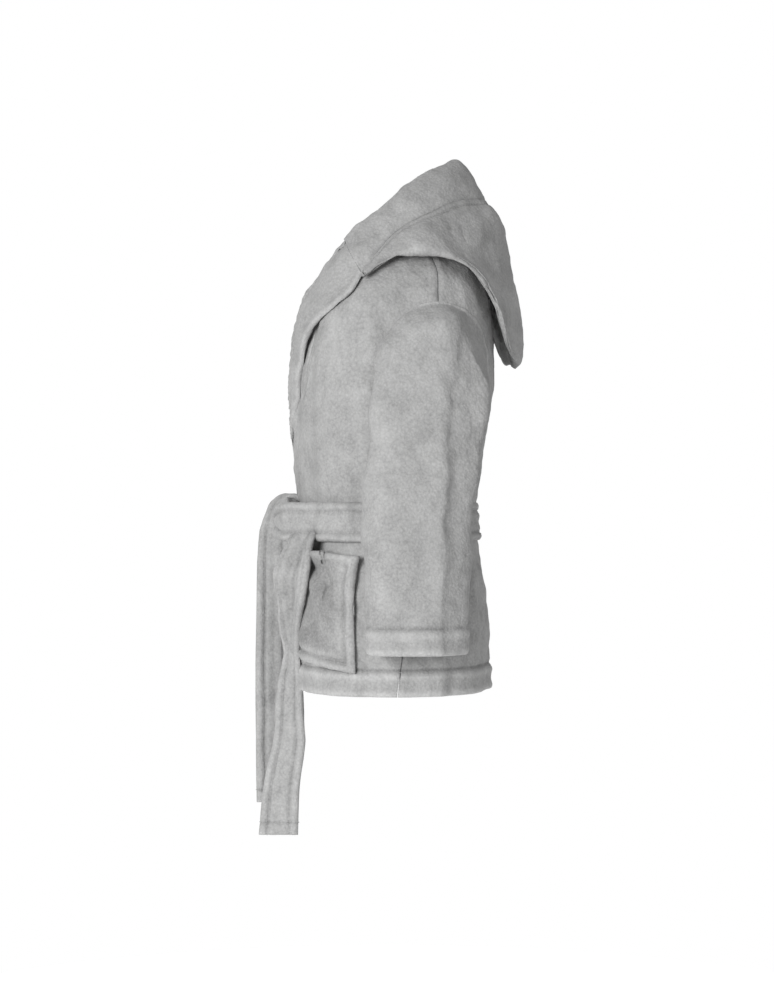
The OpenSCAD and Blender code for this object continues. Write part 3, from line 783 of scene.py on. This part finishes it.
def make_hood_half(side, name):
    s = np.linspace(0, 7, 116)
    grid = through(hood_across(s), steps(270, 2.0))
    grid = grid.transpose(1, 0, 2)[::-1]
    gone = run(grid, 0)
    y = grid[..., 1]
    middle = run(grid, 1)
    relief = (-0.3 * np.exp(-gone / 1.2) + 0.4 * bell(gone, 3, 1.6) - 0.7 * bell(gone, HOOD_TOPSTITCH, 1.0)
              + 0.4 * bell(gone, 10, 3))
    relief = relief + seam_relief(middle) * 0.5
    relief = relief + 2.0 * ripple(grid * np.array([1.0, 1.0, 0.6]), 70, 31) * soft(gone / 30)
    # Painted shade along the band seam and its topstitch line; painted highlight along a band partway
    # across the hood.
    painted_shading = 0.3 * np.exp(-gone / 1.2) + 0.5 * bell(gone, HOOD_TOPSTITCH, 1.0)
    rim = bell(np.arange(len(grid))[:, None] / len(grid), 0.34, 0.06) * soft((y + 20) / 40)
    painted_shading = painted_shading - 0.3 * rim
    grid[..., 0] -= 1.4 * np.exp(-np.maximum(grid[..., 0], 0) / 2.5)
    piece = cloth(name, for_side(grid, side), relief=flipped(relief, side), painted_shading=flipped(painted_shading, side),
                  joined=("first", "start", "end"))
    settle(piece, NAPE, name, flat=cut_size(piece, 0.27), sewn=[(0, HOOD_TOPSTITCH, False)])


def rolled_over(e, l, under, rise, fat=0.0):
    """Across a doubled band from its inner layer, over the rolled edge e, to its outer edge l."""
    lift = np.stack([e[:, 0] + l[:, 0], e[:, 1] + l[:, 1], 60 + 0 * e[:, 0]], -1)
    lift /= np.linalg.norm(lift, axis=1)[:, None]
    inward = (l - e) / np.linalg.norm(l - e, axis=1)[:, None]
    top = e + inward * 0.8
    rise, fat = np.asarray(rise).reshape(-1, 1), np.asarray(fat).reshape(-1, 1)
    return [under, top - lift * (2 + 6 * fat), top + lift * (1.2 + 5 * fat),
            mix(e, l, 0.5) + lift * rise, l]


def neck_end():
    """Inner layer of the band where the hood's band runs on into the lapel."""
    e, l = np.array(ROLL_LINE[-1:], float), np.array(FREE_LINE[-1:], float)
    low = body(front_edge(l[:, 2]) - 0.6, l[:, 2], 0.5)
    return mix(low, e, 0.55) - [4.4, -1.6, 1.5]


def make_hood_band():
    s = np.linspace(0, 7, 110)
    b, e = thread(HOOD_SEAM, s), thread(HOOD_EDGE, s)
    lean = np.stack([0.9 * b[:, 0], b[:, 1] - 30, 40 + 0 * s], -1)
    lean /= np.linalg.norm(lean, axis=1)[:, None]
    under = mix(b, e, 0.4) - lean * mix(11, 6, soft(s / 2.6))[:, None]
    under = mix(under, neck_end(), soft(s - 6)[:, None])
    half = np.stack(rolled_over(e, b, under, mix(6.5, 4.2, soft(s / 3)), 1 - soft(s / 2.6)), 1)
    half = np.stack([thread(row, steps(60, 1.5, 3) * 4) for row in half])
    whole = np.concatenate([mirrored(half.transpose(1, 0, 2)).transpose(1, 0, 2)[:-1], half])
    grid = whole.transpose(1, 0, 2)
    gone = run(grid, 0)
    up = gone[-1:] - gone
    relief = 0.4 * bell(up, 3.5, 2) - 0.3 * np.exp(-up / 1.2)
    relief = relief + 0.9 * ripple(grid, 48, 88) * soft((up - 8) / 10)
    # Painted shade along the seam edge of the band.
    painted_shading = 0.25 * np.exp(-up / 1.1)
    piece = cloth("hood_band", grid, thick=3, relief=relief, painted_shading=painted_shading,
                  joined=("start", "end", "last"))
    settle(piece, NAPE, "hood_band", flat=cut_size(piece, 0.3))


# ---------------------------------------------------------------- front bands and lapels

ROLL_LINE = [[-8, -90, -196], [16, -92, -168], [32, -94, -131], [48, -91, -95],
             [62, -83, -62], [73, -67, -37], [77, -51, -14], [77, -43, -4]]
FREE_LINE = [[-3, -89.5, -196], [34, -88, -163], [60, -85, -131], [83, -80, -100],
             [102, -69, -80], [118, -51, -65], [122, -36, -53], [118, -27, -38]]
BAND_LIFT = [[0, 0.5], [0.25, 2.5], [0.5, 4.5], [0.75, 5.0], [1, 4.5]]


def flat_band(z):
    """Five points across the band where it lies flat, from its seam to its free edge."""
    x = body(front_edge(z), z)[:, 0]
    return np.stack([body(angle_at_x(x - share * BAND_WIDE, z), z, lift) for share, lift in BAND_LIFT], 1)


FLAT_ROWS, ROLLED_ROWS = 106, 128
OUTER_PLACES = np.array([0, 0.46, 0.84, 0.89, 0.95, 1.0])
ROLL_PLACE = [[106, 0.62], [118, 0.5], [133, 0.37], [150, 0.31], [200, 0.21], [232, 0.2]]


def band_grid():
    """One strip from hem to neck: flat below, rolled out into the lapel above the crossing."""
    flat = through(flat_band(np.linspace(HEM + 1, -206, FLAT_ROWS)), OUTER_PLACES)
    s = np.linspace(0, 7, ROLLED_ROWS)
    e, l = thread(ROLL_LINE, s), thread(FREE_LINE, s)
    low = body(front_edge(l[:, 2]) - 0.6, l[:, 2], 0.5)
    under = mix(mix(low, e, 0.55) - [4.4, -1.6, 1.5], neck_end(), soft(s - 6)[:, None])
    rolled = np.stack([low, *rolled_over(e, l, under, 5 - 0.8 * soft((s - 5.5) / 1.5))], 1)
    start = through(flat_band(mix(-204, -172, np.clip(s / 1.5, 0, 1))), OUTER_PLACES)
    turn = soft(s / 1.5)[:, None, None]
    bow = np.sin(np.pi * turn) * np.array([0, 0, 0.3, 0.5, 0.8, 1.0])[None, :, None]
    return np.concatenate([flat, mix(start, rolled, turn) + bow * np.array([0, -2.5, 0])])


def make_front_band(side, name):
    grid = through(band_grid(), steps(90, 1.7, 3))
    row, share = np.arange(len(grid))[:, None], np.linspace(0, 1, grid.shape[1])[None]
    turned = soft((row - FLAT_ROWS) / (ROLLED_ROWS - 1) * 7 / 1.5)
    folded = soft((share - curve(ROLL_PLACE, row[:, 0]) + 0.03) / 0.14)
    thick = 5 - 3.4 * bell(row, 114, 11) * soft((share - 0.3) / 0.3)
    grid = grid - facing(grid) * (thick * turned * folded)[..., None]
    gone = run(grid, 1)
    rim = gone[:, -1:] - gone
    relief = 0.7 * bell(gone, 4, 2.4) - 0.9 * bell(gone, 8, 1.2)
    relief = (relief + 0.7 * bell(rim, 4, 2.6) - 0.8 * bell(rim, 8.5, 1.3)) * (1 - turned)
    # Painted shade along the two stitch lines of the flat band; painted highlight on the inner layer by
    # the rolled edge.
    painted_shading = (0.5 * bell(gone, 8, 1.3) + 0.4 * bell(rim, 8.5, 1.3)) * (1 - turned)
    under = (0.9 * bell(rim, 4, 3.2) + 0.9 * ripple(grid, 44, 61)) * turned
    under_painted_shading = -0.3 * bell(rim, 2, 3) * turned
    grid = for_side(grid[:, ::-1], side)
    if side == RIGHT:
        grid = tuck_behind(grid)
    thick, relief, painted_shading, under, under_painted_shading = (
        flipped(x[:, ::-1], side) for x in (thick, relief, painted_shading, under, under_painted_shading))
    piece = cloth(name, grid, thick=thick, relief=relief, painted_shading=painted_shading, joined=("last",),
                  under=under, under_painted_shading=under_painted_shading)
    settle(piece, "robe", name, flat=cut_size(piece, 0.48))


# ---------------------------------------------------------------- pockets

POCKET_FLARE = [[0, -31], [60, -32], [80, -31.5], [95, -29], [108, -26]]
POCKET_FRONT_LEVEL = -341.0


def make_pocket(side, name):
    """A patch sewn down on three sides; the mouth gapes and the cloth sags in a slanting fold."""
    high = steps(108, 1.7)
    level = mix(HEM + 20.5, HEM + 125, high)
    rear = angle_at_y(curve(POCKET_FLARE, high * 108)[:, 0], level)
    front = angle_at_x(mix(42, 50, soft((high - 0.3) / 0.7)), POCKET_FRONT_LEVEL + 0 * level)
    _, angle = panel_grid(level, front, rear, steps(104, 1.7), side)
    share = (angle - angle[:, :1]) / (angle[:, -1:] - angle[:, :1])
    z = level[:, None] + 11 * (1 - share) * mix(1, 0.8, high[:, None])
    true = angle if side == LEFT else 180 - angle
    flat = body(angle, z, 0, true)
    across, up = run(flat, 1), (high * POCKET_HIGH)[:, None] + 0 * share
    wide = across[:, -1:]
    edge = np.minimum(np.minimum(across, wide - across), up)
    gape = soft((up - 70) / 36)
    full = np.sin(np.pi * share) ** 0.6 * mix(0.12, 1, soft((across - 18) / 44))
    bulge = CLOTH + 0.5 + full * (4.5 * (0.3 + 0.7 * up / POCKET_HIGH) + 5 * gape)
    slant = (across - 34) * 0.65 + (up - 88) * 0.76
    fold = soft((across - 24) / 14) * soft((84 - across) / 20) * soft((99 - up) / 14)
    bulge = bulge + (3.6 * bell(slant, 0, 6) - 5.0 * bell(slant, 14, 7)) * fold
    bulge = bulge + (3.4 * bell(up, 102, 5) - 1.4 * bell(up, 91, 5)) * soft((across - 8) / 30)
    bulge = bulge + 1.3 * ripple(flat, 46, 19) * soft((edge - 8) / 10)
    bulge = bulge - 1.7 * bell(edge, POCKET_TOPSTITCH, 1.8) + 1.6 * bell(edge, 4.6, 3.2)
    # Painted shade along the stitch line and over the pocket's middle; painted highlight on the edge roll
    # and the mouth roll.
    painted_shading = 0.5 * bell(edge, POCKET_TOPSTITCH, 1.3) * (up < 96) + 0.4 * soft((edge - 12) / 8)
    painted_shading = painted_shading - 0.15 * bell(edge, 4.5, 3) - 0.2 * bell(up, 103, 4)
    grid = flat + facing(flat) * bulge[..., None]
    piece = cloth(name, for_side(grid, side), thick=CLOTH, painted_shading=flipped(painted_shading, side))
    settle(piece, "robe", name, flat=cut_size(piece, 0.106),
           sewn=[(0, POCKET_TOPSTITCH, False), (1, POCKET_TOPSTITCH, False), (1, POCKET_TOPSTITCH, True)])


# ---------------------------------------------------------------- belt, half knot and tails

def ribbon(centre, wide_way, wide, places):
    """Grid of a ribbon: centre line, direction of its width, its width and places across it."""
    centre = np.asarray(centre, float)
    way = wide_way / np.linalg.norm(wide_way, axis=-1, keepdims=True)
    across = (places * 2 - 1)[None, :, None]
    return centre[:, None] + way[:, None] * across * (np.asarray(wide) / 2).reshape(-1, 1, 1)


def belt_relief(gone):
    """Relief of two layers of belt, stitched near both edges, and painted shade along the stitch lines
    with a faint painted highlight by the edges.
    """
    rim = np.minimum(gone, gone[:, -1:] - gone)
    relief = 1.2 * bell(rim, 3.8, 2.8) - 1.3 * bell(rim, BELT_TOPSTITCH, 1.3) + 0.7 * bell(rim, 13, 3.5)
    return relief, 0.45 * bell(rim, BELT_TOPSTITCH, 0.9) - 0.12 * bell(rim, 3, 3)


def make_belt_band():
    a = np.concatenate([np.linspace(-90, -60, 60)[:-1], np.linspace(-60, 240, 250),
                        np.linspace(240, 262, 40)[1:]])
    h = (steps(BELT_WIDE, 1.6, 3) - 0.5) * BELT_WIDE
    front = np.where(a < 90, a, 180 - a)
    off = 8.5 + 20 * soft((-front - 42) / 34) - 5.5 * soft(np.sin(np.radians(a)) * 1.2)
    base = body(a, WAIST + 0 * a, off)
    snug = 1 - 0.42 * soft((-front - 64) / 24)
    rows = np.stack([base + np.stack([0 * a, 0 * a, k * snug - 2.5 * (1 - snug)], -1) for k in h])
    gone = run(rows, 0).T
    relief, painted_shading = belt_relief(gone)
    relief = relief.T + 0.7 * ripple(rows * [0.5, 0.5, 1], 34, 5)
    piece = cloth("belt_band", rows, thick=BAND, relief=relief, painted_shading=painted_shading.T)
    flat = (BELT_WIDE / 1000, piece["area"] / BELT_WIDE * 1000)
    settle(piece, "robe", "belt_band", flat=flat, held="folded",
           sewn=[(0, BELT_TOPSTITCH, False), (0, BELT_TOPSTITCH, True)])


TAIL_SEWN = [(1, BELT_TOPSTITCH, False), (1, BELT_TOPSTITCH, True), (0, TAIL_HEM, True)]


def make_near_tail():
    """Comes out under the belt in three lobes, opens out and hangs down in front of the pocket."""
    t = np.linspace(0, 1, 190)
    # Share of the way down, place across and forwards, turn of its width and width.
    hang = [[0, 76, -76, 34, 33], [0.033, 83, -82, 40, 36], [0.139, 87, -90.5, 56, 40],
            [0.226, 76, -91.8, 52, 34], [0.322, 58, -93.4, 45, 27], [0.415, 48, -93.8, 32, 27],
            [0.541, 38, -95.9, 58, 29], [0.63, 37, -95.8, 66, 29.5], [0.697, 36, -96.3, 74, 32],
            [0.839, 34, -103, 82, 34.5], [1, 33, -105.9, 84, 37]]
    row = curve(hang, t)
    z = mix(WAIST - 8, NEAR_LOW[2], t)
    turn = np.radians(row[:, 2])
    centre = np.stack([row[:, 0], row[:, 1], z], -1)
    way = np.stack([np.cos(turn), np.sin(turn), 0 * t], -1)
    places = steps(BELT_WIDE, 1.5, 3)
    grid = ribbon(centre, way, row[:, 3], places)
    normal = np.stack([np.sin(turn), -np.cos(turn), 0 * t], -1)[:, None]
    gather = (1 - soft((t - 0.12) / 0.38))[:, None]
    lobes = np.cos((places * 2 - 1) * 1.5 * np.pi)[None]
    grid = grid + normal * (-4.6 * lobes * gather)[..., None]
    grid = grid[:, ::-1]
    gone = run(grid, 1)
    relief, painted_shading = belt_relief(gone)
    down = run(grid, 0)
    up = down[-1:] - down
    relief = relief - 1.0 * bell(up, TAIL_HEM, 1.5) + 0.6 * bell(up, 6, 4)
    # Painted shade in the creases between the gathered lobes and along the hem stitch line.
    valley = np.maximum(lobes[:, ::-1] - 0.75, 0) * 3 * gather
    painted_shading = painted_shading * (1 - 0.6 * gather) + 0.3 * bell(up, TAIL_HEM, 1.5) + 0.6 * valley
    piece = cloth("belt_tail_left", grid, thick=5, relief=relief, painted_shading=painted_shading)
    settle(piece, ("robe", "left_tail", (0, 0, -0.28), (0, 0, -0.32)), "belt_tail_left",
           flat=(piece["area"] / 0.3, 0.3), sewn=TAIL_SEWN)


def make_far_tail():
    """Comes up behind the belt, over the top of the knot and hangs down in front."""
    rise = [[-14, -84, -280], [-15, -84, -262], [-15, -86, -246], [-15, -93, -237.5],
            [-15.5, -102, -238], [-16, -109, -246], [-17, -112, -262], [-17, -112.5, -280],
            [-18, -112, -310], [-18, -111.5, -350], [-18, -112, -400], [-18, -111.5, -450],
            [-17, -111, -495], [-17, -110, FAR_LOW[2]]]
    t = np.linspace(0, len(rise) - 1, 230)
    centre = thread(rise, t)
    turn = [[0, 8], [3, 14], [5, 34], [7, 68], [9, 98], [11, 108], [13, 110]]
    turn = np.radians(curve(turn, t)[:, 0])
    wide = curve([[0, 26], [3, 27], [6, 31], [8, 34], [13, 37]], t)[:, 0]
    way = np.stack([np.cos(turn), np.sin(turn), 0 * t], -1)
    grid = ribbon(centre, way, wide, steps(BELT_WIDE, 1.5, 3))[:, ::-1]
    gone = run(grid, 1)
    relief, painted_shading = belt_relief(gone)
    down = run(grid, 0)
    up = down[-1:] - down
    relief = relief - 1.0 * bell(up, TAIL_HEM, 1.5)
    # Painted shade along the hem stitch line.
    painted_shading = painted_shading + 0.6 * bell(up, TAIL_HEM, 1.5)
    piece = cloth("belt_tail_right", grid, thick=5, relief=relief, painted_shading=painted_shading)
    settle(piece, ("robe", "right_tail", (0, 0, -0.262), (0, 0, -0.31)), "belt_tail_right",
           flat=(piece["area"] / 0.34, 0.34), sewn=TAIL_SEWN)


KNOT_ROUND = 72


def make_knot():
    """The gathered core where the two ends cross, snug between the strands."""
    u = np.linspace(0, 2 * np.pi, KNOT_ROUND, endpoint=False)
    v = np.linspace(0.02, np.pi - 0.02, 60)
    uu, vv = np.meshgrid(u, v)
    x = 27 * power(np.cos(vv), 0.8)
    y = -97.5 + 12 * power(np.sin(vv), 0.6) * np.cos(uu)
    z = WAIST + 2 + 20.5 * power(np.sin(vv), 0.6) * np.sin(uu)
    grid = np.stack([x, y, z], -1)
    folds = 1.2 * np.cos(7 * uu + 1.5 * np.sin(2 * vv))
    ends = np.array([[27, -98, WAIST], [-27, -98, WAIST]])
    out = facing(grid, True)
    if out[30, 0, 1] < 0:
        grid = grid[:, ::-1]
        folds = folds[:, ::-1]
        out = facing(grid, True)
    points = grid + out * (folds * np.sin(vv) + pile(grid))[..., None]
    at = np.arange(uu.size).reshape(uu.shape)
    at = np.concatenate([at, at[:, :1]], 1)
    first, last = uu.size, uu.size + 1
    points = np.concatenate([points.reshape(-1, 3), ends])
    corners = (at[:-1, :-1], at[:-1, 1:], at[1:, 1:], at[1:, :-1])
    faces = np.stack([x.ravel() for x in corners], -1).tolist()
    faces += [[at[0, i + 1], at[0, i], first] for i in range(KNOT_ROUND)]
    faces += [[at[-1, i], at[-1, i + 1], last] for i in range(KNOT_ROUND)]
    piece = make_mesh("belt_knot", points, faces, GREY_PLUSH, np.zeros(len(points)))
    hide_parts("belt_knot")
    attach(piece, "robe")


def make_belt_loop(side, name):
    """A narrow strip sewn to the side seam above and below the belt and standing off over it."""
    a = angle_at_y(curve(SIDE_SEAM, WAIST)[0], WAIST)
    rows = np.array([[-1.75, 1], [-1.3, 0.45], [-1.12, 0.02], [-0.6, -0.05],
                     [0.6, -0.05], [1.12, 0.02], [1.3, 0.45], [1.75, 1]])
    line = thread(rows, np.linspace(0, 7, 70))
    k = steps(10, 0.9, 0.9) * 2 - 1
    turn = 10 / (228 * 0.0175)
    points = [body(a + k * turn, WAIST + tall * BELT_WIDE / 2) + [mix(10.6, 2.1, near), 0, 0]
              for tall, near in line]
    grid = for_side(np.array(points), side)
    piece = cloth(name, grid, thick=1.6, fuzz=0.4)
    settle(piece, "robe", name, flat=cut_size(piece, 0.07), held="folded")


# ---------------------------------------------------------------- back neck

def make_hanger_loop():
    low, high = span("hanger_loop")
    r = (high[0] - low[0]) / 2 - 4
    middle_z = low[2] + 4 + r
    turn = np.linspace(0, np.pi, 60)
    sides = np.linspace(high[2], middle_z, 12)[:-1]
    path = [[r, z] for z in sides]
    path += [[r * math.cos(a), middle_z - r * math.sin(a)] for a in turn]
    path = np.array(path + [[-r, z] for z in sides[::-1]])
    way = np.gradient(path, axis=0)
    way /= np.linalg.norm(way, axis=1)[:, None]
    side_way = np.stack([-way[:, 1], 0 * way[:, 0], way[:, 0]], -1)
    centre = np.stack([path[:, 0], (low[1] + high[1]) / 2 + 0 * path[:, 0] - 0.7, path[:, 1]], -1)
    grid = ribbon(centre, side_way, 7.4 + 0 * path[:, 0], steps(8, 0.8, 0.7))
    if facing(grid)[20, 5, 1] > 0:
        grid = grid[:, ::-1]
    piece = cloth("hanger_loop", grid, thick=1.4, fuzz=0.15, finish=WOVEN_TAPE)
    settle(piece, "hanger", "hanger_loop", slot="tape", flat=cut_size(piece, 0.085), held="folded")


def make_neck_tape():
    z = mix(-16.0, -6.0, steps(10, 0.9, 0.6))
    angle = np.linspace(48, 132, 110)
    grid = body(angle[None], z[:, None] + 0 * angle[None], -12.0)
    piece = cloth("neck_tape", grid[:, ::-1], thick=1.2, fuzz=0.15, finish=WOVEN_TAPE)
    settle(piece, "robe", "neck_tape", slot="tape", flat=cut_size(piece, 0.115), held="stretched")


def make_size_label():
    low, high = span("size_label")
    z = mix(low[2], high[2], steps(20, 0.9, 0.4))
    x = mix(high[0], low[0], steps(32, 0.9, 0.4))
    grid = np.stack([np.stack([body(-angle_at_x(k, h), h, -6.2) for k in x]) for h in z])
    piece = cloth("size_label", grid, thick=0.8, fuzz=0.1, finish=BLANK_LABEL)
    settle(piece, "robe", "size_label", slot="label", flat=(0.0323, 0.0202), held="stretched")


# ---------------------------------------------------------------- the whole robe

look_from_the_wearers_left()
pale_studio()
pale_floor()
make_back_panel()
make_front(LEFT, "front_left")
make_front(RIGHT, "front_right")
make_sleeve(LEFT, "sleeve_left")
make_sleeve(RIGHT, "sleeve_right")
make_hood_half(LEFT, "hood_left")
make_hood_half(RIGHT, "hood_right")
make_hood_band()
make_front_band(LEFT, "front_band_left")
make_front_band(RIGHT, "front_band_right")
make_pocket(LEFT, "pocket_left")
make_pocket(RIGHT, "pocket_right")
make_belt_band()
make_near_tail()
make_far_tail()
make_knot()
make_belt_loop(LEFT, "belt_loop_left")
make_belt_loop(RIGHT, "belt_loop_right")
make_hanger_loop()
make_neck_tape()
make_size_label()
